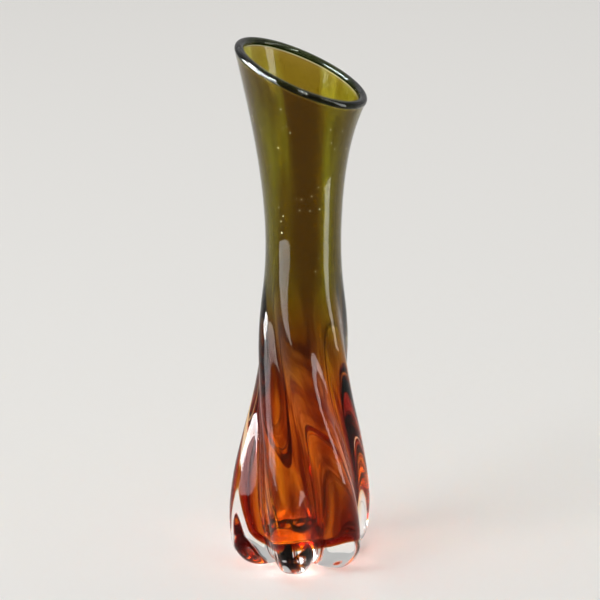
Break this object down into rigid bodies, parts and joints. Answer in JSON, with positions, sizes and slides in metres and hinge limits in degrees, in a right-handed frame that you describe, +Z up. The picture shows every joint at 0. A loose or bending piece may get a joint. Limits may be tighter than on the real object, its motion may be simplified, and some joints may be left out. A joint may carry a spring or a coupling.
{
  "type": "vase",
  "caption": "Tall art glass vase with a slanted flared mouth, a slender neck and twisted lobes that end in rounded toes.",
  "frame": {"origin": "middle of the foot, on the surface that the vase stands on", "axes": "+Z up through the neck, -Y towards the front, and the mouth falls towards +X"},
  "size_m": [0.0874, 0.0896, 0.32],
  "materials": {
    "clear_glass": "polished",
    "amber_glass": "polished",
    "green_glass": "polished",
    "dark_green_glass": "polished"
  },
  "bodies": {
    "root": {"clear_casing": "clear_glass", "amber_well": "amber_glass", "green_neck": "green_glass", "lip_roll": "dark_green_glass"}
  },
  "joints": []
}
